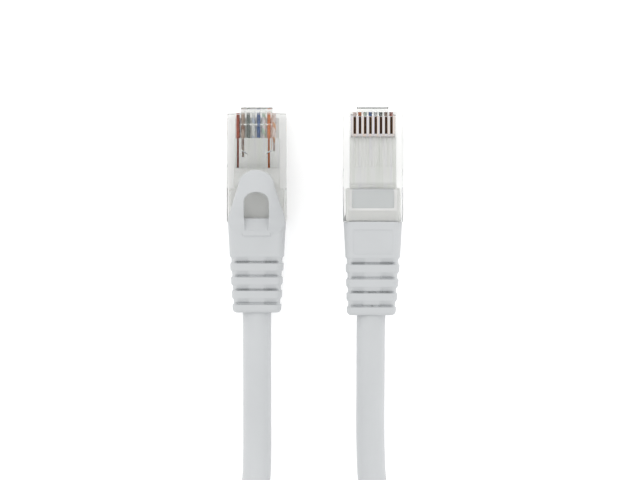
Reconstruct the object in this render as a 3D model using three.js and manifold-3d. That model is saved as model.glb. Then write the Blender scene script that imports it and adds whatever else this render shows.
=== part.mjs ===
// Ethernet patch cable: two 8P8C plugs with snagless boots, joined by one round cable whose spare length
// is folded into a tied hank. Millimetres, +Z up, lying on the surface z = 0.
//
// Each plug is built in its own frame: y is the distance behind the plug's front face, z the height above its
// contact side and x is across, with contact 1 at -X. Plug A lies at +X with its latch up. Plug B is the same
// plug turned over at -X, so its latch cover stands on the surface. Both noses point to -Y.
import * as THREE from "three";
import { ConvexGeometry } from "three/addons/geometries/ConvexGeometry.js";
import { mergeVertices } from "three/addons/utils/BufferGeometryUtils.js";
import Module from "manifold-3d";

const wasm = await Module();
wasm.setup();

// ---- Driving dimensions ----
const CONTACTS = 8;
const CONTACT_PITCH = 1.02;
const GAP = 0.3; // between pieces that would touch
const CABLE_R = 2.8; // jacket radius
const AXIS_Z = 4.1; // height of the cable's axis in a plug

const PLUG = { half: 5.84, length: 21.5, nose: -1.2, noseTop: 6.7, rearTop: 8.0, rampFrom: 10, rampTo: 12.5 };
const CHAMFER = { length: 1.2, height: 0.8 }; // lower front edge of the plug
const WIRE = { r: 0.45, front: 0.45, rowZ: 3.4, outerZ: 3.75, middleZ: 3.1, end: 23.6 };
// The load bar, with a tongue that runs on below the wires where they fan in.
const BAR = { front: 4.9, rear: 11.0, half: 4.5, bottom: 1.5, top: 4.7, tongueRear: 13.6, tongueTop: 2.0 };
const BLADE = { half: 0.175, front: 0.95, rear: 4.25, crest: 0.55, shoulder: 2.75, tip: 3.55 };
const MOULD = { front: 14.9, rear: 21.4, half: 4.2, bottom: 0.95, top: 7.25 }; // inner mould round the jacket
const WINDOW = { front: 15.2, rear: 19.0, half: 4.6, slopeFront: 13.7, depth: 0.8 };
const STRAIN = { front: 15.4, rear: 18.8, half: 4.1, bottom: 0.12, top: 0.86 }; // bar that holds the jacket
const JACKET = { front: 15.6, squeezed: 2.65, bore: 2.3, boreEnd: 24.0 };

// The latch is measured along its beam from the hinge, about which it is tilted up.
const LATCH = {
  hingeY: -0.5, hingeZ: 6.9, tilt: 14, half: 3.11, tailHalf: 1.625, root: -0.5, shoulder: 8.6, tail: 16.0,
  under: 0.1, thickness: 1.1,
};

const BOOT = { front: 21.8, rear: 39.2, frontW: 11.4, frontH: 8.7, rearW: 9.5, rearH: 7.4, boreR: 2.95 };
const GROOVE = { count: 4, first: 28.3, pitch: 2.7, width: 1.15, sideDepth: 0.35, faceDepth: 0.7 };
const HOOD = { tip: 11.3, rear: 23.6, half: 5.55, top: 13.4, hingeY: 22.9, under: 8.6, padUnder: 12.35 };
const SLOT = { half: 2.6, front: 15.6, straight: 17.4 }; // opening of the latch cover, round in front
const PLAN = { neckHalf: 3.45, neckY: 14.1, fullY: 20.6 }; // outline of the latch cover from above

// ---- Where the plugs and the cable lie ----
const PLUG_X = 11.4; // from the middle to each plug's axis
const ORIGIN_Y = (BOOT.rear + PLUG.nose) / 2;
const EXIT_Y = BOOT.rear - ORIGIN_Y;
// The cable's free stretches, from each boot to where the hank begins.
const LEAD_A = [
  [11.4, 20.5, 4.1], [11.4, 25, 4.05], [11.4, 30, 3.7], [11.4, 36, 3.1], [11.4, 42, 2.85],
  [11.4, 48, 3.1], [11.65, 54, 3.9], [12.9, 60, 5.1], [15.0, 65, 6.3], [18.1, 70, 7.5],
];
const LEAD_B = [
  [-11.1, 20.5, 9.3], [-11.0, 25, 9.1], [-11.0, 30, 8.1], [-11.0, 36, 6.1], [-11.0, 42, 4.1],
  [-11.1, 48, 3.0], [-11.45, 54, 2.8], [-12.7, 60, 2.8], [-14.9, 65, 2.8], [-18.1, 70, 2.8],
];
const HANK = { inner: 14.0, outer: 25.2, nearY: 87.2, farY: 130.3, bottom: 0.9, top: 12.1 };
const TIE = { y: 108.5, width: 3.6, band: 0.6, tail: 13, tailR: 0.8 };

// ---- Materials ----
const material = (color, roughness, metalness = 0, more = {}) =>
  new THREE.MeshStandardMaterial({ color, roughness, metalness, ...more });
const CLEAR = material(0xeef0ee, 0.1, 0, { transparent: true, opacity: 0.35 });
const MILKY = material(0xe6e8e2, 0.4, 0, { transparent: true, opacity: 0.7 });
const GREY = material(0xcfd1d3, 0.55);
const GOLD = material(0xc79a4b, 0.25, 1);
const TIE_WHITE = material(0xf2f2f0, 0.5);
// T568B order: white/orange, orange, white/green, blue, white/blue, green, white/brown, brown.
const WIRES = [0xe9b38a, 0xe0812e, 0xb8cdb6, 0x2f5f96, 0xa9bfdb, 0x4c7a5b, 0xc9a993, 0xa5502f].map((c) =>
  material(c, 0.45),
);

// ---- Solids ----
function solid(geometry) {
  const plain = geometry.index ? geometry.toNonIndexed() : geometry.clone();
  const bare = new THREE.BufferGeometry().setAttribute("position", plain.getAttribute("position"));
  const merged = mergeVertices(bare, 1e-4);
  const vertProperties = merged.attributes.position.array;
  const triVerts = new Uint32Array(merged.index.array);
  return new wasm.Manifold(new wasm.Mesh({ numProp: 3, vertProperties, triVerts }));
}

function node(name, made, look) {
  const { vertProperties, triVerts } = made.getMesh();
  const geometry = new THREE.BufferGeometry()
    .setAttribute("position", new THREE.BufferAttribute(new Float32Array(vertProperties), 3))
    .setIndex(new THREE.BufferAttribute(new Uint32Array(triVerts), 1));
  geometry.computeVertexNormals();
  const mesh = new THREE.Mesh(geometry, look);
  mesh.name = name;
  return mesh;
}

const outline = (points) => new THREE.Shape(points.map(([a, b]) => new THREE.Vector2(a, b)));

// An outline drawn on two axes, pushed along the third one from low to high.
function pushed(shape, low, high, [across, up, along], curveSegments = 6) {
  const options = { depth: high - low, bevelEnabled: false, curveSegments };
  const geometry = new THREE.ExtrudeGeometry(shape, options).translate(0, 0, low);
  return solid(geometry.applyMatrix4(new THREE.Matrix4().makeBasis(across, up, along)));
}
const [X, Y, Z] = [0, 1, 2].map((i) => new THREE.Vector3().setComponent(i, 1));
const alongX = (shape, low, high, segments) => pushed(shape, low, high, [Y, Z, X], segments); // drawn on y, z
const alongY = (shape, low, high) => pushed(shape, -high, -low, [X, Z, Y.clone().negate()]); // drawn on x, z
const alongZ = (shape, low, high, segments) => pushed(shape, low, high, [X, Y, Z], segments); // drawn on x, y

function box([x0, x1], [y0, y1], [z0, z1]) {
  const size = [x1 - x0, y1 - y0, z1 - z0];
  return solid(new THREE.BoxGeometry(...size).translate((x0 + x1) / 2, (y0 + y1) / 2, (z0 + z1) / 2));
}

function rod(r, y0, y1, z, sides = 20) {
  return solid(new THREE.CylinderGeometry(r, r, y1 - y0, sides).translate(0, (y0 + y1) / 2, z));
}

// A tube of round section along points that it passes through.
function tube(points, r, sides, steps) {
  const turn = (i) => ((i + 0.5) * 2 * Math.PI) / sides;
  const corners = Array.from({ length: sides }, (_, i) => [r * Math.cos(turn(i)), r * Math.sin(turn(i))]);
  const ring = outline(corners);
  const extrudePath = new THREE.CatmullRomCurve3(points.map((p) => new THREE.Vector3(...p)));
  return solid(new THREE.ExtrudeGeometry(ring, { extrudePath, steps, bevelEnabled: false }));
}

// The corners of a rounded rectangle across the cable, width by height, its lowest edge at bottom.
function ringPoints(y, width, height, bottom, corner, arcSteps = 4) {
  const points = [];
  for (const [i, [sx, sz]] of [[1, 1], [-1, 1], [-1, -1], [1, -1]].entries())
    for (let k = 0; k <= arcSteps; k++) {
      const a = ((i + k / arcSteps) * Math.PI) / 2;
      const x = sx * (width / 2 - corner) + corner * Math.cos(a);
      const z = bottom + height / 2 + sz * (height / 2 - corner) + corner * Math.sin(a);
      points.push(new THREE.Vector3(x, y, z));
    }
  return points;
}

// ---- The plug's own pieces ----
const contactX = (pin) => (pin - (CONTACTS + 1) / 2) * CONTACT_PITCH;
const pins = Array.from({ length: CONTACTS }, (_, i) => i + 1);

function plugBody() {
  const side = outline([
    [0, CHAMFER.height], [CHAMFER.length, 0], [PLUG.length, 0], [PLUG.length, PLUG.rearTop],
    [PLUG.rampTo, PLUG.rearTop], [PLUG.rampFrom, PLUG.noseTop], [0, PLUG.noseTop],
  ]);
  const block = alongX(side, -PLUG.half, PLUG.half);
  // The nose that the latch grows out of.
  const nose = outline([
    [0.5, 4.9], [0.5, PLUG.noseTop], [PLUG.nose + 0.3, PLUG.noseTop], [PLUG.nose, 6.3], [PLUG.nose, 5.7],
  ]);
  const root = alongX(nose, -LATCH.half, LATCH.half);
  const wide = [-BAR.half - 0.1, BAR.half + 0.1];
  const channel = box(wide, [WIRE.front - 0.05, BAR.front], [WIRE.middleZ - 0.5, WIRE.outerZ + 0.5]);
  const barRoom = box(wide, [BAR.front - 0.1, BAR.rear + 0.2], [BAR.bottom - 0.1, BAR.top + 0.1]);
  const fanRoom = box(wide, [BAR.rear + 0.1, MOULD.front - 0.2], [BAR.bottom - 0.1, 6.35]);
  const mouldRoom = box(
    [-MOULD.half - 0.2, MOULD.half + 0.2],
    [MOULD.front - 0.3, PLUG.length + 1],
    [MOULD.bottom - 0.2, MOULD.top + 0.15],
  );
  const windowSide = outline([
    [WINDOW.slopeFront, -0.1], [WINDOW.front, WINDOW.depth], [WINDOW.rear, WINDOW.depth],
    [PLUG.length + 0.1, 0.25], [PLUG.length + 0.1, -0.1],
  ]);
  const window = alongX(windowSide, -WINDOW.half, WINDOW.half);
  let made = block.add(root);
  for (const room of [channel, barRoom, fanRoom, mouldRoom, window]) made = made.subtract(room);
  for (const pin of pins) {
    const across = [contactX(pin) - 0.26, contactX(pin) + 0.26];
    made = made.subtract(box(across, [BLADE.front - 0.15, BLADE.rear + 0.15], [-0.1, 3]));
  }
  return made;
}

function latch() {
  const { root, shoulder, tail, under, thickness } = LATCH;
  const top = under + thickness;
  const beam = outline([
    [root, under], [shoulder, under], [shoulder, top], [root + 0.5, top], [root, top - 0.45],
  ]);
  const lever = outline([
    [shoulder - 0.5, under], [tail, under + 0.15], [tail, top + 0.05], [shoulder - 0.5, top],
  ]);
  const flat = alongX(beam, -LATCH.half, LATCH.half).add(alongX(lever, -LATCH.tailHalf, LATCH.tailHalf));
  return flat.rotate([LATCH.tilt, 0, 0]).translate([0, LATCH.hingeY, LATCH.hingeZ]);
}

function contact(pin) {
  const { half, front, rear, crest, shoulder, tip } = BLADE;
  const side = outline([
    [front, crest + 0.4], [front + 0.4, crest], [rear - 0.1, crest], [rear, crest + 0.1], [rear, shoulder],
    [3.75, shoulder], [3.55, tip], [3.35, shoulder], [1.95, shoulder], [1.75, tip], [1.55, shoulder],
    [front, shoulder],
  ]);
  return alongX(side, contactX(pin) - half, contactX(pin) + half);
}

// The outer two wires on each side lie higher in the load bar than the middle four.
const barZ = (pin) => (pin < 3 || pin > 6 ? WIRE.outerZ : WIRE.middleZ);

// Where each wire ends in the jacket, across and above its axis: pairs 1-2, 3-6, 4-5 and 7-8.
const PAIRED = {
  1: [-1.45, -0.5], 2: [-1.45, 0.5], 3: [-0.5, 1.45], 4: [-0.5, -1.45],
  5: [0.5, -1.45], 6: [0.5, 1.45], 7: [1.45, 0.5], 8: [1.45, -0.5],
};

function wire(pin) {
  const [x, [px, pz]] = [contactX(pin), PAIRED[pin]];
  const z = barZ(pin);
  const endZ = AXIS_Z + pz;
  const points = [
    [x, WIRE.front, WIRE.rowZ], [x, 2.4, WIRE.rowZ], [x, 3.7, WIRE.rowZ], [x, 4.75, z], [x, 8.0, z],
    [x, 10.8, z], [x, 11.6, z + 0.2 * (endZ - z)], [x + 0.06 * (px - x), 12.6, z + 0.75 * (endZ - z)],
    [x + 0.35 * (px - x), 13.6, endZ], [x + 0.8 * (px - x), 14.8, endZ], [px, 15.9, endZ],
    [px, 18, endZ], [px, WIRE.end, endZ],
  ];
  const slit = box([x - 0.22, x + 0.22], [1.35, 3.95], [2.8, 3.66]);
  return tube(points, WIRE.r, 8, 24).subtract(slit);
}

function loadBar() {
  const inner = contactX(6) + 0.6;
  const outer = contactX(8) + 0.6;
  const tunnel = outline([
    [-inner, WIRE.middleZ - 0.55], [inner, WIRE.middleZ - 0.55], [inner, WIRE.outerZ - 0.55],
    [outer, WIRE.outerZ - 0.55], [outer, WIRE.outerZ + 0.55], [contactX(7) - 0.6, WIRE.outerZ + 0.55],
    [contactX(7) - 0.6, WIRE.middleZ + 0.55], [contactX(2) + 0.6, WIRE.middleZ + 0.55],
    [contactX(2) + 0.6, WIRE.outerZ + 0.55], [-outer, WIRE.outerZ + 0.55], [-outer, WIRE.outerZ - 0.55],
    [-inner, WIRE.outerZ - 0.55],
  ]);
  const cut = alongY(tunnel, BAR.front - 1, BAR.rear + 1);
  const wide = [-BAR.half, BAR.half];
  const bar = box(wide, [BAR.front, BAR.rear], [BAR.bottom, BAR.top]).subtract(cut);
  return bar.add(box(wide, [BAR.rear - 1, BAR.tongueRear], [BAR.bottom, BAR.tongueTop]));
}

function strainBar() {
  const { front, rear, half, bottom, top } = STRAIN;
  const side = outline([
    [front, bottom + 0.2], [front + 0.35, bottom], [rear - 0.35, bottom], [rear, bottom + 0.2], [rear, top],
    [front, top],
  ]);
  return alongX(side, -half, half);
}

function innerMould() {
  const { front, rear, half, bottom, top } = MOULD;
  return box([-half, half], [front, rear], [bottom, top]).subtract(rod(2.8, front - 1, rear + 1, AXIS_Z, 24));
}

function jacketEnd() {
  const { front, squeezed, bore, boreEnd } = JACKET;
  const profile = [
    [0, boreEnd], [bore, boreEnd], [bore, front], [squeezed, front], [squeezed, MOULD.rear],
    [CABLE_R, MOULD.rear + 0.4], [CABLE_R, BOOT.rear], [0, BOOT.rear],
  ];
  const points = profile.map(([r, y]) => new THREE.Vector2(r, y));
  return solid(new THREE.LatheGeometry(points, 20).translate(0, 0, AXIS_Z));
}

// ---- The boot and its latch cover ----
function tapered(shrinkX, shrinkZ, corner) {
  const { front, rear, frontW, frontH, rearW, rearH } = BOOT;
  const rings = [
    ringPoints(front, frontW - 2 * shrinkX, frontH - 2 * shrinkZ, 0.05 + shrinkZ, corner),
    ringPoints(rear, rearW - 2 * shrinkX, rearH - 2 * shrinkZ, 0.45 + shrinkZ, corner),
  ];
  return solid(new ConvexGeometry(rings.flat()));
}

function boot() {
  const core = tapered(GROOVE.sideDepth, GROOVE.faceDepth, 1.3);
  let made = tapered(0, 0, 1.5);
  for (let i = 0; i < GROOVE.count; i++) {
    const y = GROOVE.first + i * GROOVE.pitch;
    made = made.subtract(box([-8, 8], [y, y + GROOVE.width], [-1, 10]).subtract(core));
  }
  // A lip reaches under the latch cover's opening, and the cover's two sides sit in steps beside it.
  const lipHalf = SLOT.half - GAP;
  const lip = box([-lipHalf, lipHalf], [PLAN.fullY, BOOT.front + 0.5], [HOOD.under - GAP, BOOT.frontH]);
  made = made.add(lip).subtract(rod(BOOT.boreR, BOOT.front - 1, BOOT.rear + 1, AXIS_Z, 24));
  const seat = [[BOOT.front - 1, HOOD.rear + GAP], [HOOD.under - GAP - 0.05, BOOT.frontH + 1]];
  made = made.subtract(box([-BOOT.frontW, 0.2 - SLOT.half], ...seat));
  made = made.subtract(box([SLOT.half - 0.2, BOOT.frontW], ...seat));
  return made;
}

function latchCover() {
  const plan = new THREE.Shape();
  plan.moveTo(HOOD.half, HOOD.rear);
  plan.lineTo(HOOD.half, PLAN.fullY);
  plan.lineTo(PLAN.neckHalf, PLAN.neckY);
  plan.absellipse(0, PLAN.neckY, PLAN.neckHalf, PLAN.neckY - HOOD.tip, 0, -Math.PI, true);
  plan.lineTo(-HOOD.half, PLAN.fullY);
  plan.lineTo(-HOOD.half, HOOD.rear);
  plan.lineTo(-SLOT.half, HOOD.rear);
  plan.lineTo(-SLOT.half, SLOT.straight);
  plan.absellipse(0, SLOT.straight, SLOT.half, SLOT.straight - SLOT.front, -Math.PI, 0, false);
  plan.lineTo(SLOT.half, HOOD.rear);
  const side = outline([
    [HOOD.tip - 0.1, 12.1], [HOOD.tip - 0.1, 12.9], [12.3, HOOD.top], [16.2, HOOD.top], [18.6, 12.5],
    [21.4, 10.4], [HOOD.rear, 8.95], [HOOD.rear, HOOD.under], [HOOD.hingeY, HOOD.under], [20.3, 9.05],
    [17.5, 10.2], [14, 11.3],
  ]);
  const shell = alongZ(plan, 8, 14, 8).intersect(alongX(side, -7, 7));
  return shell.subtract(box([-2.1, 2.1], [HOOD.tip - 1, 16.4], [8, HOOD.padUnder]));
}

// ---- The cable's free length ----
function lead(points) {
  const [x, , z] = points[0];
  const whole = tube([[x, EXIT_Y + GAP, z], ...points.slice(1)], CABLE_R, 8, 16);
  return whole.subtract(alongZ(roundEnded(HANK.outer + GAP), 0, HANK.top + CABLE_R, 12));
}

// An outline with two round ends, a ring where a smaller one is cut out of it.
function roundEnded(r) {
  const shape = new THREE.Shape();
  shape.absarc(0, HANK.nearY, r, Math.PI, 2 * Math.PI, false);
  shape.absarc(0, HANK.farY, r, 0, Math.PI, false);
  return shape;
}

function hank() {
  const whole = alongZ(roundEnded(HANK.outer), HANK.bottom, HANK.top, 12);
  return whole.subtract(alongZ(roundEnded(HANK.inner), HANK.bottom - 1, HANK.top + 1, 12));
}

function tie(side) {
  const middle = (side * (HANK.inner + HANK.outer)) / 2;
  const reach = (HANK.outer - HANK.inner) / 2 + GAP;
  const ends = [TIE.y - TIE.width / 2, TIE.y + TIE.width / 2];
  const outer = [middle - reach - TIE.band, middle + reach + TIE.band];
  const band = box(outer, ends, [0, HANK.top + GAP + TIE.band]);
  const hole = [middle - reach, middle + reach];
  const room = box(hole, [ends[0] - 1, ends[1] + 1], [TIE.band, HANK.top + GAP]);
  const tail = new THREE.CylinderGeometry(TIE.tailR, TIE.tailR, TIE.tail, 8);
  tail.translate(middle, TIE.y + TIE.tail / 2 - 1, HANK.top + GAP + TIE.band + 0.4);
  return band.subtract(room).add(solid(tail));
}

// ---- Assembly ----
function plug(suffix) {
  const group = new THREE.Group();
  const put = (name, made, look) => group.add(node(`${name}_${suffix}`, made, look));
  put("plug_body", plugBody(), CLEAR);
  put("latch", latch(), CLEAR);
  put("load_bar", loadBar(), MILKY);
  put("strain_relief_bar", strainBar(), CLEAR);
  put("inner_mould", innerMould(), GREY);
  put("jacket_end", jacketEnd(), GREY);
  put("boot", boot(), GREY);
  put("latch_cover", latchCover(), GREY);
  for (const pin of pins) {
    put(`contact_${pin}`, contact(pin), GOLD);
    put(`wire_${pin}`, wire(pin), WIRES[pin - 1]);
  }
  return group;
}

const plugA = plug("a");
plugA.position.set(PLUG_X, -ORIGIN_Y, 0);

const plugB = plug("b");
plugB.rotation.y = Math.PI;
plugB.position.set(-PLUG_X, -ORIGIN_Y, HOOD.top);

const cable = new THREE.Group();
cable.add(plugA, plugB);
cable.add(node("cable_lead_a", lead(LEAD_A), GREY));
cable.add(node("cable_lead_b", lead(LEAD_B), GREY));
cable.add(node("cable_hank", hank(), GREY));
cable.add(node("hank_tie_a", tie(1), TIE_WHITE));
cable.add(node("hank_tie_b", tie(-1), TIE_WHITE));

export default cable;
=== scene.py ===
import math
import bmesh
import bpy
from mathutils import Matrix, Vector


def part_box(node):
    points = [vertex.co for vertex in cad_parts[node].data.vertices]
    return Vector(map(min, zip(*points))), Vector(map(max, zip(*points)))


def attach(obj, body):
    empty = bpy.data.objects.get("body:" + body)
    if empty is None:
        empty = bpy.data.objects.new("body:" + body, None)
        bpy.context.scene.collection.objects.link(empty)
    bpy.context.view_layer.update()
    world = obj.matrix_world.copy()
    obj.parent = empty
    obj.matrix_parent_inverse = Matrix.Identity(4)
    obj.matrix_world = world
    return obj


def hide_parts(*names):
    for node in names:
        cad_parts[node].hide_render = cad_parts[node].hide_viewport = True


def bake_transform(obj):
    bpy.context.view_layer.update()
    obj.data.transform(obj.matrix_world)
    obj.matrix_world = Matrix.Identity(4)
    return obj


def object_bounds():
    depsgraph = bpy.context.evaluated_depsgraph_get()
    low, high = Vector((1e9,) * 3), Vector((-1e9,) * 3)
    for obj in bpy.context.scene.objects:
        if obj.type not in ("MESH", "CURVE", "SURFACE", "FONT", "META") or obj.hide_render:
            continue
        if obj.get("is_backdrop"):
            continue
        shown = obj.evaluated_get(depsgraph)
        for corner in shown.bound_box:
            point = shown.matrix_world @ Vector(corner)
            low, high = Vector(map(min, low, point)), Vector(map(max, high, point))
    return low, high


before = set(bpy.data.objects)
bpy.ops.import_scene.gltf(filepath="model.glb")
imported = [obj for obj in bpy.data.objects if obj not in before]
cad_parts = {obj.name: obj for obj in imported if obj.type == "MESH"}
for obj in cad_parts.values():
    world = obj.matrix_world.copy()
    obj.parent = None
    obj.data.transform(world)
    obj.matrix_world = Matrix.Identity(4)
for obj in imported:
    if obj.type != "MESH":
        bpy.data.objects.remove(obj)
cad_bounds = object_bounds()

# Lengths are in metres in the object's frame. A plug's own pieces are drawn in millimetres in the plug's
# frame: x across it, y behind its front face, z up from its contact side.
MM = 0.001
ENDS = ("a", "b")
PINS = range(1, 9)

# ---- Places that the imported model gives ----
NOSE = 1.2  # how far the latch's root stands out of the plug's front face, mm


def centre(node):
    low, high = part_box(node)
    return (low + high) / 2


PLUG_X = centre("plug_body_a").x
FRONT_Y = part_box("plug_body_a")[0].y + NOSE * MM
TOP_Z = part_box("plug_body_b")[1].z
PLACE = {
    "a": Matrix.Translation((PLUG_X, FRONT_Y, 0)),
    "b": Matrix.Translation((-PLUG_X, FRONT_Y, TOP_Z)) @ Matrix.Rotation(math.pi, 4, "Y"),
}


def plug_box(node):
    """A node of end A as (low, high) corners in the plug's frame, in millimetres."""
    back = PLACE["a"].inverted()
    return [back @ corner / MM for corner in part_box(node + "_a")]


# ---- Camera: straight above, the noses to the top of the picture ----
CAMERA_HEIGHT = 0.6
PICTURE_WIDTH = 0.12583  # what the picture's width covers at the height of plug A's upper face
camera_data = bpy.data.cameras.new("camera")
camera_data.sensor_width = 36
camera_data.lens = 36 * (CAMERA_HEIGHT - 0.008) / PICTURE_WIDTH
camera_data.clip_start = 0.01
camera_data.clip_end = 5
camera = bpy.data.objects.new("camera", camera_data)
camera.location = (-0.00105, 0.006, CAMERA_HEIGHT)
camera.rotation_euler = (0, 0, math.pi)
bpy.context.scene.collection.objects.link(camera)
bpy.context.scene.camera = camera

# ---- The cable: its free stretches, point by point, and the hank's turns ----
CABLE_D = 0.0056
JACKET_Z = centre("jacket_end_a").z
START = 0.0165  # the free cable's first point, a little way inside the boot
LEAD_A = [
    (0.0114, 0.0205, 0.0041), (0.0114, 0.025, 0.00405), (0.0114, 0.030, 0.0037), (0.0114, 0.036, 0.0031),
    (0.0114, 0.042, 0.00285), (0.0114, 0.048, 0.0031), (0.01165, 0.054, 0.0039), (0.0129, 0.060, 0.0051),
    (0.0150, 0.065, 0.0063), (0.0181, 0.070, 0.0075),
]
LEAD_B = [
    (-0.0111, 0.0205, 0.0093), (-0.0110, 0.025, 0.0091), (-0.0110, 0.030, 0.0081), (-0.0110, 0.036, 0.0061),
    (-0.0110, 0.042, 0.0041), (-0.0111, 0.048, 0.0030), (-0.01145, 0.054, 0.0028), (-0.0127, 0.060, 0.0028),
    (-0.0149, 0.065, 0.0028), (-0.0181, 0.070, 0.0028),
]
HANK_LOW, HANK_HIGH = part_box("cable_hank")
OUTER = HANK_HIGH.x - CABLE_D / 2
INNER = OUTER - CABLE_D
NEAR_Y = HANK_LOW.y + HANK_HIGH.x
FAR_Y = HANK_HIGH.y - HANK_HIGH.x
TIE_Y = (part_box("hank_tie_a")[0].y) + 0.0018
TIE_LIFT = HANK_LOW.z
PULLED_IN = 0.0033  # how far the fold that climbs to the upper layer lies inside its neighbours


def run(x, y0, y1, layer, points=6):
    """A straight run of the hank, which the tie lifts a little off the surface."""
    for i in range(1, points):
        y = y0 + (y1 - y0) * i / points
        lift = TIE_LIFT * math.exp(-(((y - TIE_Y) / 0.011) ** 2))
        yield (x, y, CABLE_D * (0.5 + layer) + lift)


def fold(x0, x1, y, side, layers, pulled=0.0, points=13):
    """A half turn from x0 to x1 about a centre at y, on side -1 near the plugs or 1 far from them."""
    middle, radius = (x0 + x1) / 2, (x0 - x1) / 2
    for i in range(points):
        t = i / (points - 1)
        climb = t * t * (3 - 2 * t)
        layer = layers[0] + (layers[1] - layers[0]) * climb
        reach = side * (abs(radius) - pulled) * math.sin(t * math.pi)
        yield (middle + radius * math.cos(t * math.pi), y + reach, CABLE_D * (0.5 + layer))


def hank_points():
    """From the outer lower run on B's side to the outer upper run on A's side."""
    yield from [(-OUTER * 0.955, 0.0785, CABLE_D / 2)]
    turns = [  # each loop's x and layer, then its near fold's far x, layers and how far it is pulled in
        (OUTER, 0, INNER, (0, 0), 0.0),
        (INNER, 0, INNER, (0, 1), PULLED_IN),
        (INNER, 1, OUTER, (1, 1), 0.0),
        (OUTER, 1, None, None, 0.0),
    ]
    for x, layer, to, layers, pulled in turns:
        if x == OUTER and layer == 0:
            yield (-x, NEAR_Y, CABLE_D / 2)
        yield from run(-x, NEAR_Y, FAR_Y, layer)
        yield from fold(-x, x, FAR_Y, 1, (layer, layer))
        yield from run(x, FAR_Y, NEAR_Y, layer)
        if to is None:
            yield (x, NEAR_Y, CABLE_D * 1.5)
        else:
            yield from fold(x, -to, NEAR_Y, -1, layers, pulled)
    yield (OUTER * 0.955, 0.0785, CABLE_D * 1.48)


def curve_piece(name, points, diameter, resolution=6):
    data = bpy.data.curves.new(name, "CURVE")
    data.dimensions = "3D"
    data.bevel_depth = diameter / 2
    data.bevel_resolution = 8
    data.resolution_u = resolution
    data.use_fill_caps = True
    spline = data.splines.new("BEZIER")
    spline.bezier_points.add(len(points) - 1)
    for place, point in zip(points, spline.bezier_points):
        point.co = place
        point.handle_left_type = point.handle_right_type = "AUTO"
    piece = bpy.data.objects.new(name, data)
    bpy.context.scene.collection.objects.link(piece)
    return piece


route = [
    (-PLUG_X, START, TOP_Z - JACKET_Z), *LEAD_B,
    *hank_points(),
    *reversed(LEAD_A), (PLUG_X, START, JACKET_Z),
]
cable = curve_piece("cable", route, CABLE_D)


# ---- Mesh helpers ----
def linked(name, mesh):
    made = bpy.data.objects.new(name, mesh)
    bpy.context.scene.collection.objects.link(made)
    return made


def from_bmesh(name, bm):
    bmesh.ops.recalc_face_normals(bm, faces=bm.faces)
    mesh = bpy.data.meshes.new(name)
    bm.to_mesh(mesh)
    bm.free()
    return linked(name, mesh)


def loft(name, rings, closed=False):
    """A solid through rings of points, each ring with as many points as the next."""
    bm = bmesh.new()
    made = [[bm.verts.new(p) for p in ring] for ring in rings]
    pairs = list(zip(made, made[1:])) + ([(made[-1], made[0])] if closed else [])
    for one, two in pairs:
        for i in range(len(one)):
            j = (i + 1) % len(one)
            bm.faces.new((one[i], one[j], two[j], two[i]))
    if not closed:
        bm.faces.new(made[0])
        bm.faces.new(made[-1])
    return from_bmesh(name, bm)


def prism(name, outline, low, high, axis="x"):
    """An outline drawn on the other two axes, pushed along axis from low to high."""
    order = {"x": lambda a, b, t: (t, a, b), "y": lambda a, b, t: (a, t, b), "z": lambda a, b, t: (a, b, t)}
    return loft(name, [[order[axis](a, b, t) for a, b in outline] for t in (low, high)])


def box(name, low, high):
    (x0, y0, z0), (x1, y1, z1) = low, high
    return prism(name, [(y0, z0), (y1, z0), (y1, z1), (y0, z1)], x0, x1)


def settle(piece):
    """Applies a piece's modifiers."""
    mesh = bpy.data.meshes.new_from_object(piece.evaluated_get(bpy.context.evaluated_depsgraph_get()))
    piece.modifiers.clear()
    old, piece.data = piece.data, mesh
    bpy.data.meshes.remove(old)
    return piece


def bevel(piece, width, segments=2, angle=30):
    m = piece.modifiers.new("bevel", "BEVEL")
    m.width = width
    m.segments = segments
    m.limit_method = "ANGLE"
    m.angle_limit = math.radians(angle)
    return settle(piece)


def joined(piece, others, operation):
    """The piece with the others cut out of it or added to it."""
    for other in others:
        m = piece.modifiers.new("join", "BOOLEAN")
        m.operation = operation
        m.solver = "EXACT"
        m.object = other
        settle(piece)
        bpy.data.objects.remove(other)
    return piece


def remeshed(piece, voxel, smooth=2):
    m = piece.modifiers.new("remesh", "REMESH")
    m.mode = "VOXEL"
    m.voxel_size = voxel
    m.use_smooth_shade = True
    settle(piece)
    return smoothed(piece, smooth)


def smoothed(piece, times, where=None):
    """Evens out the surface, everywhere or only at the vertices that where picks."""
    m = piece.modifiers.new("smooth", "SMOOTH")
    m.factor = 0.5
    m.iterations = times
    if where:
        group = piece.vertex_groups.new(name="smooth")
        group.add([v.index for v in piece.data.vertices if where(v.co)], 1.0, "REPLACE")
        m.vertex_group = "smooth"
    return settle(piece)


def rounded(w, h, r, cx=0.0, cz=0.0, steps=6):
    """Corners of a rounded rectangle as (a, b, normal a, normal b)."""
    points = []
    for i, (sx, sz) in enumerate([(1, 1), (-1, 1), (-1, -1), (1, -1)]):
        for k in range(steps + 1):
            a = (i + k / steps) * math.pi / 2
            c, s = math.cos(a), math.sin(a)
            points.append((cx + sx * (w / 2 - r) + r * c, cz + sz * (h / 2 - r) + r * s, c, s))
    return points


def tube(points, radius, sides=16, steps=6):
    """Rings along a smooth line through the points, drawn in planes across y."""
    line = []
    for i in range(len(points) - 1):
        p0, p1, p2, p3 = (Vector(points[min(max(j, 0), len(points) - 1)]) for j in (i - 1, i, i + 1, i + 2))
        for k in range(steps):
            t = k / steps
            near = (2 * p0 - 5 * p1 + 4 * p2 - p3) * t * t
            line.append(0.5 * (2 * p1 + (p2 - p0) * t + near + (3 * p1 - p0 - 3 * p2 + p3) * t ** 3))
    line.append(Vector(points[-1]))
    turns = [2 * math.pi * k / sides for k in range(sides)]
    return [[(p.x + radius * math.cos(a), p.y, p.z + radius * math.sin(a)) for a in turns] for p in line]


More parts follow.
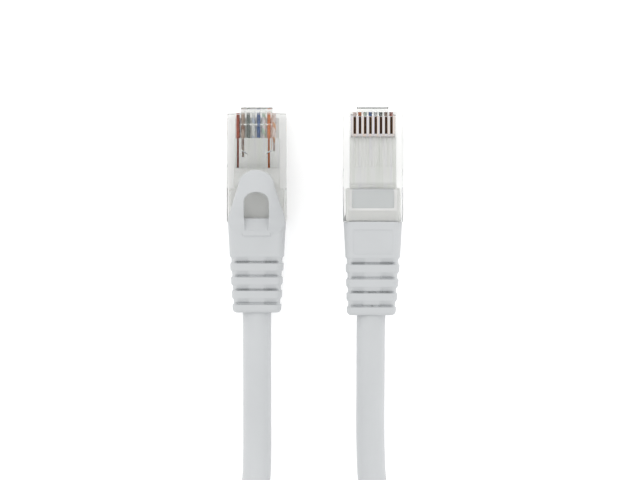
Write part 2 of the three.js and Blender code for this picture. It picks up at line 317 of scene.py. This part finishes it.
def shown(piece, end, node, body, look, angle=35):
    """Puts a piece drawn in the plug's frame in its place, and hides the node it takes the place of."""
    piece.data.transform(PLACE[end] @ Matrix.Scale(MM, 4))
    piece.data.shade_smooth()
    if angle:
        piece.data.set_sharp_from_angle(angle=math.radians(angle))
    piece.data.materials.append(look)
    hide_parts(node)
    if body:
        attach(piece, body)
    return piece


# ---- Materials ----
class Look:
    """A Principled material, with short calls for the nodes that its detail needs."""

    def __init__(self, name, colour, roughness, metallic=0.0, **more):
        self.material = bpy.data.materials.new(name)
        self.material.use_nodes = True
        self.tree = self.material.node_tree
        self.shader = self.tree.nodes["Principled BSDF"]
        self.set("Base Color", (*colour, 1.0))
        self.set("Roughness", roughness)
        self.set("Metallic", metallic)
        for socket, value in more.items():
            self.set(socket.replace("_", " "), value)
        self.place = self.node("ShaderNodeTexCoord").outputs["Object"]

    def set(self, socket, value):
        self.shader.inputs[socket].default_value = value

    def node(self, kind, **settings):
        made = self.tree.nodes.new(kind)
        for name, value in settings.items():
            setattr(made, name, value)
        return made

    def link(self, source, target):
        self.tree.links.new(source, target)

    def math(self, operation, one, two=0.0):
        made = self.node("ShaderNodeMath", operation=operation)
        for value, socket in zip((one, two), made.inputs):
            if isinstance(value, float):
                socket.default_value = value
            else:
                self.link(value, socket)
        return made.outputs[0]

    def noise(self, scale, detail=3.0, stretch=(1, 1, 1)):
        mapping = self.node("ShaderNodeMapping")
        mapping.inputs["Scale"].default_value = stretch
        self.link(self.place, mapping.inputs["Vector"])
        noise = self.node("ShaderNodeTexNoise")
        noise.inputs["Scale"].default_value = scale
        noise.inputs["Detail"].default_value = detail
        self.link(mapping.outputs["Vector"], noise.inputs["Vector"])
        return noise.outputs["Fac"]

    def ramp(self, source, stops, target):
        ramp = self.node("ShaderNodeValToRGB")
        elements = ramp.color_ramp.elements
        while len(elements) < len(stops):
            elements.new(0.5)
        for element, (at, colour) in zip(elements, stops):
            element.position = at
            element.color = (*colour, 1.0)
        self.link(source, ramp.inputs["Fac"])
        self.link(ramp.outputs["Color"], self.shader.inputs[target])
        return ramp

    def vary(self, source, colour, share):
        """Base colour a share darker to a share lighter."""
        dark, light = ([c * k for c in colour] for k in (1 - share, 1 + share))
        return self.ramp(source, [(0.3, dark), (0.7, light)], "Base Color")

    def rough(self, source, low, high):
        return self.ramp(source, [(0.3, [low] * 3), (0.7, [high] * 3)], "Roughness")

    def bump(self, source, strength, distance):
        bump = self.node("ShaderNodeBump")
        bump.inputs["Strength"].default_value = strength
        bump.inputs["Distance"].default_value = distance
        self.link(source, bump.inputs["Height"])
        self.link(bump.outputs["Normal"], self.shader.inputs["Normal"])


def soft_pvc(name, colour, grain):
    look = Look(name, colour, 0.5)
    look.set("Specular IOR Level", 0.4)
    look.vary(look.noise(140), colour, 0.018)
    look.rough(look.noise(900), 0.44, 0.58)
    look.bump(look.noise(grain, 6.0), 0.12, 0.00003)
    return look.material


def clear_plastic():
    look = Look("clear_polycarbonate", (0.975, 0.98, 0.97), 0.03)
    look.set("Transmission Weight", 1.0)
    look.set("IOR", 1.36)
    look.bump(look.noise(900, 1.0, (1, 0.12, 1)), 0.15, 0.00006)
    return look.material


def milky_plastic(name, tints):
    look = Look(name, MILK, 0.4)
    streaks = look.noise(1600, 2.0, (1, 0.04, 1))
    look.ramp(streaks, list(zip((0.25, 0.5, 0.75), tints)), "Base Color")
    look.rough(streaks, 0.3, 0.5)
    return look.material


def mould_plastic():
    """Milky, and grey on the contact side where the strain relief bar presses it on the jacket."""
    look = Look("mould_plastic", MILK, 0.5)
    apart = look.node("ShaderNodeSeparateXYZ")
    look.link(look.place, apart.inputs[0])
    x, y, z = (apart.outputs[axis] for axis in "XYZ")
    off_axis = look.math("ABSOLUTE", look.math("SUBTRACT", look.math("ABSOLUTE", x), PLUG_X))
    masks = [
        look.math("LESS_THAN", off_axis, 4.0 * MM),
        look.math("LESS_THAN", y, FRONT_Y + 18.75 * MM),
        look.math("GREATER_THAN", look.math("ABSOLUTE", look.math("SUBTRACT", z, TOP_Z / 2)), 4.4 * MM),
    ]
    grey = look.math("MULTIPLY", look.math("MULTIPLY", masks[0], masks[1]), masks[2])
    look.ramp(grey, [(0.0, MILK), (1.0, [c * 1.38 for c in GREY])], "Base Color")
    look.bump(look.noise(1800, 6.0), 0.12, 0.00003)
    return look.material


def shaded_gold():
    # The dark brown base is the gold with the shade of its deep slots painted in: painted shade.
    colour = (0.065, 0.034, 0.02)
    look = Look("contact_gold", colour, 0.3, metallic=1.0)
    look.vary(look.noise(2500), colour, 0.25)
    look.rough(look.noise(6000, 3.0, (1, 0.1, 1)), 0.22, 0.42)
    return look.material


def insulation(name, colour, stripe=None):
    look = Look(name, colour, 0.35)
    look.bump(look.noise(4000), 0.05, 0.00002)
    if stripe is None:
        look.vary(look.noise(1500), colour, 0.08)
        return look.material
    wave = look.node("ShaderNodeTexWave", wave_type="BANDS", bands_direction="DIAGONAL")
    wave.inputs["Scale"].default_value = 190
    look.link(look.place, wave.inputs["Vector"])
    look.ramp(wave.outputs["Fac"], [(0.72, colour), (0.85, stripe)], "Base Color")
    return look.material


def tie_plastic():
    look = Look("tie_plastic", (0.86, 0.86, 0.84), 0.35)
    look.vary(look.noise(400), (0.86, 0.86, 0.84), 0.02)
    look.bump(look.noise(3000, 2.0, (1, 0.15, 1)), 0.15, 0.00004)
    return look.material


GREY = (0.575, 0.59, 0.60)
MILK = (0.97, 0.97, 0.96)
JACKET = soft_pvc("jacket_pvc", GREY, 2600)
BOOT = soft_pvc("boot_pvc", [c * 0.98 for c in GREY], 3800)
MOULD = mould_plastic()
CLEAR = clear_plastic()
MILKY = milky_plastic("milky_plastic", [(0.86, 0.88, 0.84), MILK, (0.90, 0.89, 0.93)])
# Plug B's comb, seen down in its contact slots, gets the milky plastic darker and warm-tinted: painted
# shade.
SHADED_MILKY = milky_plastic("milky_plastic_painted_shade", [(0.76, 0.58, 0.48), (0.66, 0.64, 0.62), (0.66, 0.62, 0.72)])
COMB_LOOK = {"a": MILKY, "b": SHADED_MILKY}
SHADED_GOLD = shaded_gold()
TIE = tie_plastic()
ORANGE = (0.80, 0.19, 0.015)
GREEN = (0.10, 0.135, 0.12)
BLUE = (0.02, 0.10, 0.34)
BROWN = (0.36, 0.05, 0.01)
WIRES = [
    insulation("wire_white_orange", (0.93, 0.78, 0.74), (0.85, 0.48, 0.30)),
    insulation("wire_orange", ORANGE),
    insulation("wire_white_green", (0.95, 0.90, 0.92), (0.60, 0.76, 0.62)),
    insulation("wire_blue", BLUE),
    insulation("wire_white_blue", (0.93, 0.95, 0.95), (0.60, 0.68, 0.82)),
    insulation("wire_green", GREEN),
    insulation("wire_white_brown", (0.44, 0.32, 0.25), (0.24, 0.10, 0.05)),
    insulation("wire_brown", BROWN),
]

# ---- Sizes in the plug's frame, millimetres ----
PITCH = (centre("contact_1_a").x - centre("contact_8_a").x) / 7 / MM * -1
HALF = plug_box("plug_body")[1].x
REAR = plug_box("plug_body")[1].y
NOSE_TOP = 6.7
REAR_TOP = plug_box("plug_body")[1].z
BOOT_FRONT = REAR - 0.1
BOOT_REAR = plug_box("boot")[1].y
AXIS_Z = JACKET_Z / MM
HINGE = (-0.5, 6.9)  # the latch's, as y and z
LATCH_TILT = math.radians(14)
BAR_REAR = 11.0  # where the load bar's tunnels end and its tongue begins
WIRES_ASIDE = {"a": 0.2, "b": 0.0}  # how far the row of wires sits to one side of the contacts
BOOT_BEND = {"a": 0.0, "b": -0.35}  # how far a boot's rear end is bent aside
BOOT_STRETCH = {"a": 0.1, "b": 0.5}  # how far a boot is drawn out


def pin_x(pin):
    return (pin - 4.5) * PITCH


def grown(node, by):
    low, high = plug_box(node)
    return low - Vector((by,) * 3), high + Vector((by,) * 3)


def circle(radius, step, x=0.0, z=AXIS_Z):
    turns = (math.radians(t) for t in range(0, 360, step))
    return [(x + radius * math.cos(a), z + radius * math.sin(a)) for a in turns]


# ---- The plug's pieces ----
def plug_body(name):
    side = [
        (0, 0.8), (1.2, 0), (REAR, 0), (REAR, REAR_TOP), (12.5, REAR_TOP), (10, NOSE_TOP), (0, NOSE_TOP),
    ]
    body = bevel(prism(name, side, -HALF, HALF), 0.22, 3)
    nose = [(0.5, 4.9), (0.5, 6.65), (-NOSE, 6.65), (-NOSE, 5.7)]
    body = joined(body, [bevel(prism("nose", nose, -3.11, 3.11), 0.05)], "UNION")
    bar_low, bar_high = grown("load_bar", 0.1)
    mould_low, mould_high = grown("inner_mould", 0.2)
    wide = bar_high.x
    window = [(13.7, -0.1), (15.2, 0.8), (19.0, 0.8), (REAR + 0.1, 0.25), (REAR + 0.1, -0.1)]
    fan_rear = mould_low.y + 0.1
    fan = [
        (BAR_REAR, bar_low.z), (fan_rear, bar_low.z), (fan_rear, 6.35), (13.6, 6.35),
        (BAR_REAR, bar_high.z - 0.05),
    ]
    cuts = [
        box("channel", (-wide, 0.15, 2.6), (wide, bar_low.y + 0.3, 4.25)),
        box("bar_room", (-wide, bar_low.y, bar_low.z), (wide, BAR_REAR + 0.1, bar_high.z)),
        prism("fan_room", fan, -wide, wide),
        box("mould_room", (-5.4, mould_low.y, mould_low.z), (5.4, REAR + 1, mould_high.z)),
        prism("window", window, -4.6, 4.6),
        box("slots", (-4.4, 0.8, -0.1), (4.4, bar_low.y + 0.05, 3)),
    ]
    return joined(body, cuts, "DIFFERENCE")


def comb(name):
    """The cloudy ribs between the contacts and the plate under the wires."""
    middles = [pin_x(pin + 0.5) for pin in range(9)]
    ribs = [box("rib", (x - 0.25, 0.82, 0.15), (x + 0.25, 4.38, 2.5)) for x in middles]
    bar = box(name, (-4.35, 4.3, 0.3), (4.35, 4.88, 2.5))
    plate = box("plate", (-4.35, 0.82, 2.3), (4.35, 4.88, 2.99))
    return bevel(joined(bar, ribs + [plate], "UNION"), 0.05)


def latch(name):
    """Drawn flat along the beam, then tilted up about its root."""
    half, tail_half, thick = 3.11, 1.62, 1.1
    stations = [  # along the beam, half width, underside, top
        (-0.35, half, 0.1, 0.75), (0.1, half, 0.1, 0.1 + thick), (3.1, half, 0.1, 0.1 + thick),
        (3.22, half, 0.1, thick - 0.12), (3.4, half, 0.1, thick - 0.12), (3.52, half, 0.1, 0.1 + thick),
        (7.9, half, 0.1, 0.1 + thick), (8.4, half - 0.12, 0.12, 0.1 + thick),
        (9.0, tail_half + 0.25, 0.12, 1.18), (9.6, tail_half, 0.13, 1.18), (15.4, tail_half, 0.22, 1.22),
        (16.0, tail_half - 0.3, 0.3, 1.12),
    ]
    rings = []
    for y, wide, low, high in stations:
        section = rounded(2 * wide, high - low, 0.16, 0, (low + high) / 2, 3)
        rings.append([(x, y, z) for x, z, _, _ in section])
    piece = loft(name, rings)
    piece.data.transform(Matrix.Translation((0, *HINGE)) @ Matrix.Rotation(LATCH_TILT, 4, "X"))
    return piece


def contact(name, pin):
    """A blade with a rounded front and two teeth."""
    turns = (0.0, 0.4, 0.8, 1.2, 1.57)
    crest = [(0.95 + 0.45 * (1 - math.cos(a)), 1.0 - 0.45 * math.sin(a)) for a in turns]
    side = crest + [
        (4.1, 0.55), (4.21, 0.6), (4.25, 0.75), (4.25, 2.75), (3.75, 2.75), (3.55, 3.55), (3.35, 2.75),
        (1.95, 2.75), (1.75, 3.55), (1.55, 2.75), (0.95, 2.75),
    ]
    return bevel(prism(name, side, pin_x(pin) - 0.175, pin_x(pin) + 0.175), 0.04, 2, 20)


PAIRED = {
    1: (-1.45, -0.5), 2: (-1.45, 0.5), 3: (-0.5, 1.45), 4: (-0.5, -1.45),
    5: (0.5, -1.45), 6: (0.5, 1.45), 7: (1.45, 0.5), 8: (1.45, -0.5),
}


def wire(name, pin, aside):
    """From its contact through the load bar to its place in the jacket."""
    x, (px, pz) = pin_x(pin) + aside, PAIRED[pin]
    row, z, end_z = 3.4, 3.75 if pin < 3 or pin > 6 else 3.1, AXIS_Z + pz
    points = [
        (x, 0.2, row), (x, 2.4, row), (x, 3.7, row), (x, 4.75, z), (x, 8.0, z), (x, 10.8, z),
        (x, 11.6, z + 0.2 * (end_z - z)), (x + 0.06 * (px - x), 12.6, z + 0.75 * (end_z - z)),
        (x + 0.35 * (px - x), 13.6, end_z), (x + 0.8 * (px - x), 14.8, end_z), (px, 15.9, end_z),
        (px, 18.0, end_z), (px, 23.6, end_z),
    ]
    return loft(name, tube(points, 0.34))


def load_bar(name, aside):
    low, high = plug_box("load_bar")
    tip = high.y + 1.2
    side = [
        (low.y, low.z), (13.8, low.z), (13.9, low.z + 0.25), (tip, low.z + 0.25), (tip, low.z + 0.5),
        (BAR_REAR + 0.1, low.z + 0.5), (BAR_REAR + 0.1, high.z), (low.y, high.z),
    ]
    bar = bevel(prism(name, side, low.x, high.x), 0.08)
    cuts = []
    for pin in PINS:
        outer = pin < 3 or pin > 6
        x, z = pin_x(pin) + aside, 3.75 if outer else 3.1
        cuts.append(prism("hole", circle(0.49, 30, x, z), low.y - 1, BAR_REAR + 1, "y"))
        if outer:
            end = {1: 7.4, 7: 8.6}.get(pin, BAR_REAR + 1)
            cuts.append(box("groove", (x - 0.21, low.y - 1, z), (x + 0.21, end, 9)))
        rib = [(pin_x(pin) + 0.3 * math.cos(a), low.z + 0.2 * math.sin(a)) for a in
               (math.radians(t) for t in range(0, 360, 30))]
        cuts.append(prism("rib", rib, low.y - 1, BAR_REAR - 0.3, "y"))
    return joined(bar, cuts, "DIFFERENCE")


def strain_bar(name):
    side = [(15.4, 0.32), (15.75, 0.12), (18.45, 0.12), (18.8, 0.32), (18.8, 0.86), (15.4, 0.86)]
    return bevel(prism(name, side, -4.1, 4.1), 0.1)


def inner_mould(name):
    low, high = plug_box("inner_mould")
    slope = [
        (BAR_REAR + 0.12, 4.2), (BAR_REAR + 0.12, 4.68), (13.6, 6.2), (low.y + 1, 6.2), (low.y + 1, 5.2),
        (13.6, 5.6),
    ]
    roof = prism("roof", slope, -4.5, 4.5)
    block = joined(bevel(box(name, (-5.3, low.y, low.z), (5.3, high.y, high.z)), 0.25, 3), [roof], "UNION")
    return joined(block, [prism("hole", circle(2.78, 10), low.y - 1, high.y + 1, "y")], "DIFFERENCE")


def jacket_end(name):
    profile = [
        (0.0, 24.0), (2.3, 24.0), (2.3, 15.75), (2.42, 15.6), (2.55, 15.6), (2.65, 15.7), (2.65, 21.4),
        (2.8, 21.8), (2.8, 38.0), (0.0, 38.0),
    ]
    rings = []
    for r, y in profile:
        turns = [2 * math.pi * k / 48 for k in range(48)]
        rings.append([(max(r, 0.01) * math.cos(a), y, AXIS_Z + max(r, 0.01) * math.sin(a)) for a in turns])
    return loft(name, rings)


# ---- The boot ----
GROOVES = [28.3 + 2.7 * i for i in range(4)]
GROOVE_WIDTH = 1.15


def eased(t):
    t = min(max(t, 0.0), 1.0)
    return t * t * (3 - 2 * t)


def within(value, low, high, edge):
    """1 between low and high, easing to 0 over edge outside them."""
    return eased((value - low) / edge + 1) * eased((high - value) / edge + 1)


def boot_depth(x, y, nx, nz):
    """How far the boot's surface lies below its outer form."""
    depth = 0.0
    across = abs(x)
    deep = 0.52 + 0.4 * within(across, 1.9, 3.8, 0.6)
    for start in GROOVES:
        t = (y - start) / GROOVE_WIDTH
        if -0.15 < t < 1.06:
            slope = 0.15 + 0.85 * min(1.0, max(0.0, t + 0.1)) ** 1.3
            edge = eased((t + 0.15) / 0.3) * eased((1.06 - t) / 0.09)
            slit = (0.4 + 0.12 * within(across, 2.0, 4.2, 0.6)) * eased((t - 0.7) / 0.06)
            face = (deep * slope + slit) * within(across, 0, 4.3, 0.3)
            depth += edge * max(0.3 * abs(nx) ** 0.5, face * abs(nz))
    if nz < 0:
        depth += 0.22 * abs(nz) * within(across, 0, 3.8, 0.12) * within(y, 23.1, 27.5, 0.12)
    return depth


def boot_solid():
    rings = []
    steps = 220
    for i in range(steps + 1):
        y = BOOT_FRONT + (BOOT_REAR - BOOT_FRONT) * i / steps
        t = (y - BOOT_FRONT) / (BOOT_REAR - BOOT_FRONT)
        w, low, high = 11.4 - 1.9 * t, 0.05 + 0.4 * t, 8.75 - 0.9 * t
        tuck = 0.55 * max(0.0, (y - BOOT_REAR + 0.75) / 0.75) ** 2.5
        section = rounded(w - 2 * tuck, high - low - 2 * tuck, 1.5 - tuck, 0, (low + high) / 2, 8)
        fine = []
        for k, one in enumerate(section):
            two = section[(k + 1) % len(section)]
            parts = max(1, round(math.hypot(two[0] - one[0], two[1] - one[1]) / 0.22))
            for n in range(parts if parts > 2 else 1):
                fine.append([a + (b - a) * n / parts for a, b in zip(one, two)])
        ring = []
        for x, z, nx, nz in fine:
            d = boot_depth(x, y, nx, nz)
            ring.append((x - nx * d, y, z - nz * d))
        rings.append(ring)
    return loft("boot_solid", [resampled(ring, 160) for ring in rings])


def resampled(ring, count):
    """The ring again with count points evenly along it."""
    closed = [Vector(p) for p in ring] + [Vector(ring[0])]
    along = [0.0]
    for one, two in zip(closed, closed[1:]):
        along.append(along[-1] + (two - one).length)
    out, k = [], 0
    for i in range(count):
        at = along[-1] * i / count
        while along[k + 1] < at:
            k += 1
        share = (at - along[k]) / max(along[k + 1] - along[k], 1e-9)
        out.append(closed[k].lerp(closed[k + 1], share))
    return out


def cover_half(y):
    """Half width of the latch cover's outline."""
    tip, wide_y, wide = 11.3, 14.3, 3.5
    if y < wide_y:
        return wide * math.sqrt(max(0.0, 1 - ((wide_y - y) / (wide_y - tip)) ** 2))
    return min(5.6, wide + (y - wide_y) * (5.6 - wide) / (20.6 - wide_y)) - 1.3 * eased((y - 21.6) / 2.8)


def through(points, y):
    """A smooth height through (y, z) points."""
    for (y0, z0), (y1, z1) in zip(points, points[1:]):
        if y <= y1:
            t = (y - y0) / (y1 - y0)
            return z0 + (z1 - z0) * eased(t) * 0.5 + (z1 - z0) * t * 0.5
    return points[-1][1]


COVER_TOP = [(11.3, 13.0), (12.4, 13.38), (15.9, 13.4), (18.4, 12.5), (21.4, 10.4), (24.4, 8.55)]
COVER_UNDER = [(11.3, 12.35), (16.4, 12.0), (17.5, 10.4), (20.3, 9.1), (22.9, 8.5), (24.4, 8.0)]


def cover_solid():
    """The domed snag guard over the latch's tail, open in the middle, with a channel behind its window."""
    rings = []
    across = 24
    for i in range(81):
        y = 11.32 + (24.4 - 11.32) * (i / 80) ** 1.15
        half = cover_half(y)
        crown, under = through(COVER_TOP, y), through(COVER_UNDER, y)
        drop = min(0.35 + 1.15 * eased((y - 11.8) / 5), 0.55 * (crown - 8.3))
        top, bottom = [], []
        for k in range(across + 1):
            u = -1 + 2 * k / across
            x = half * u
            z = crown - drop * abs(u) ** 3.2
            arch = min(under + 0.35, z - 0.5) - 1.1 * max(0.0, abs(u) - 0.55) ** 1.2
            top.append((x, y, z))
            bottom.append((x, y, min(z - 0.35, arch)))
        rings.append(top + bottom[::-1])
    cover = loft("cover_solid", rings)
    window = [(-2.42, 20.6)]
    for k in range(13):
        a = math.pi - math.pi * k / 12
        window.append((2.42 * math.cos(a), 17.4 - 1.75 * math.sin(a)))
    window.append((2.42, 20.6))
    channel = [(-2.42, 20.5), (2.42, 20.5), (2.2, 23.3), (-2.2, 23.3)]
    cuts = [prism("window", window, 7, 15, "z"), prism("channel", channel, 9.05, 15, "z")]
    pocket = box("pocket", (-2.15, 10.5, 8), (2.15, 16.6, 12.3))
    return joined(cover, cuts + [pocket], "DIFFERENCE")


def boot(name):
    """The boot and its latch cover, moulded as one."""
    piece = boot_solid()
    piece.name = name
    floor = box("channel_floor", (-2.7, 20.7, 8.5), (2.7, 24.2, 9.05))
    piece = joined(piece, [cover_solid(), floor], "UNION")
    bore = prism("bore", circle(2.86, 8), BOOT_FRONT - 1, BOOT_REAR + 1, "y")
    piece = joined(piece, [bore], "DIFFERENCE")
    return smoothed(remeshed(piece, 0.12), 6, where=lambda p: p.z > 7.9 and p.y < 24.6)


def lean(piece, aside, longer):
    """Draws a boot out by longer and bends its rear end aside, both easing in from its front."""
    for vertex in piece.data.vertices:
        t = max(0.0, (vertex.co.y - 23.6) / (BOOT_REAR - 23.6))
        vertex.co.x += aside * t * t
        vertex.co.y += longer * min(1.0, 1.6 * t)
    return piece


def build_end(end):
    place, root = PLACE[end], "cable"
    shown(plug_body("clear_body_" + end), end, "plug_body_" + end, root, CLEAR, angle=10)
    shown(comb("comb_" + end), end, "plug_body_" + end, root, COMB_LOOK[end])
    lever = latch("latch_lever_" + end)
    shown(lever, end, "latch_" + end, None, CLEAR, angle=10)
    start, stop = (place @ (Vector(p) * MM) for p in ((0, -0.6, 7.0), (0, 1.6, 7.6)))
    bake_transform(lever)
    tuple(start)
    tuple(stop)
    guide = load_bar("wire_guide_" + end, WIRES_ASIDE[end])
    shown(guide, end, "load_bar_" + end, root, MILKY)
    bar = strain_bar("strain_bar_" + end)
    shown(bar, end, "strain_relief_bar_" + end, root, CLEAR, angle=10)
    shown(inner_mould("mould_" + end), end, "inner_mould_" + end, root, MOULD)
    shown(jacket_end("jacket_" + end), end, "jacket_end_" + end, root, JACKET)
    for pin in PINS:
        blade = contact(f"blade_{pin}_{end}", pin)
        shown(blade, end, f"contact_{pin}_{end}", root, SHADED_GOLD)
        strand = wire(f"strand_{pin}_{end}", pin, WIRES_ASIDE[end])
        shown(strand, end, f"wire_{pin}_{end}", root, WIRES[pin - 1])
    cover = lean(boot("strain_relief_" + end), BOOT_BEND[end], BOOT_STRETCH[end])
    shown(cover, end, "boot_" + end, None, BOOT, angle=None)
    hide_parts("latch_cover_" + end)
    start, stop = (place @ (Vector(p) * MM) for p in ((0, 23.3, 8.5), (0, 22.3, 10.0)))
    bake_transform(cover)
    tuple(start)
    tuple(stop)


for end in ENDS:
    build_end(end)


# ---- The ties round the hank ----
def tie(name, node):
    """A flat strip round one side of the hank, its two ends twisted together on top."""
    low, high = (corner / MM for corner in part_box(node))
    x = (low.x + high.x) / 2
    y = TIE_Y / MM
    band = 0.6
    top = HANK_HIGH.z / MM + 0.3 + band
    section = rounded(high.x - low.x - band, top - band, 2.6, x, top / 2, 8)
    rings = []
    for px, pz, nx, nz in section:
        wide, thick = 1.8, band / 2
        corners = [(wide, thick), (-wide, thick), (-wide, -thick), (wide, -thick)]
        rings.append([(px + nx * b, y + a, pz + nz * b) for a, b in corners])
    piece = bevel(loft(name, rings, closed=True), 0.12)
    tail = []
    for i in range(49):
        t = i / 48
        turn = 7.5 * math.pi * eased(t * 1.05)
        wide, thick = 0.75 + 0.5 * eased((t - 0.8) / 0.2), 0.42
        z = top + 0.35 + 0.5 * math.sin(math.pi * t)
        c, s = math.cos(turn), math.sin(turn)
        corners = [(wide, thick), (-wide, thick), (-wide, -thick), (wide, -thick)]
        tail.append([(x + a * c - b * s, y - 1 + 13 * t, z + a * s + b * c) for a, b in corners])
    piece = joined(piece, [bevel(loft("tail", tail), 0.1, 2, 60)], "UNION")
    piece.data.transform(Matrix.Scale(MM, 4))
    piece.data.shade_smooth()
    piece.data.set_sharp_from_angle(angle=math.radians(35))
    piece.data.materials.append(TIE)
    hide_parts(node)
    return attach(piece, "cable")


ties = [tie("tie_" + end, "hank_tie_" + end) for end in ENDS]
cable.data.materials.append(JACKET)
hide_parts("cable_lead_a", "cable_lead_b", "cable_hank")
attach(cable, "cable")

# ---- Floor and light ----
bpy.ops.mesh.primitive_plane_add(size=6, location=(0, 0.05, -0.0002))
floor = bpy.context.object
floor.name = "floor"
floor_look = Look("floor_white", (0.93, 0.93, 0.93), 0.9)
floor_look.set("Specular IOR Level", 0.0)
floor_look.set("Emission Color", (1, 1, 1, 1))
floor_look.set("Emission Strength", 0.33)
floor.data.materials.append(floor_look.material)
floor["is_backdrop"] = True


def area_light(name, place, target, size, power):
    data = bpy.data.lights.new(name, "AREA")
    data.shape = "DISK"
    data.size = size
    data.energy = power
    light = bpy.data.objects.new(name, data)
    light.location = place
    light.rotation_euler = (Vector(target) - Vector(place)).to_track_quat("-Z", "Y").to_euler()
    bpy.context.scene.collection.objects.link(light)


area_light("key", (0.5, -0.5, 1.1), (0, 0.03, 0), 0.8, 1.7)
area_light("fill", (-0.7, 0.3, 0.9), (0, 0.03, 0), 0.9, 0.8)
world = bpy.data.worlds.new("studio")
bpy.context.scene.world = world
world.use_nodes = True
world.node_tree.nodes["Background"].inputs["Color"].default_value = (1, 1, 1, 1)
world.node_tree.nodes["Background"].inputs["Strength"].default_value = 0.98
bpy.context.scene.view_settings.view_transform = "Standard"

{name: [list(p) for p in b] for name, b in (("cad", cad_bounds), ("visual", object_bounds()))}
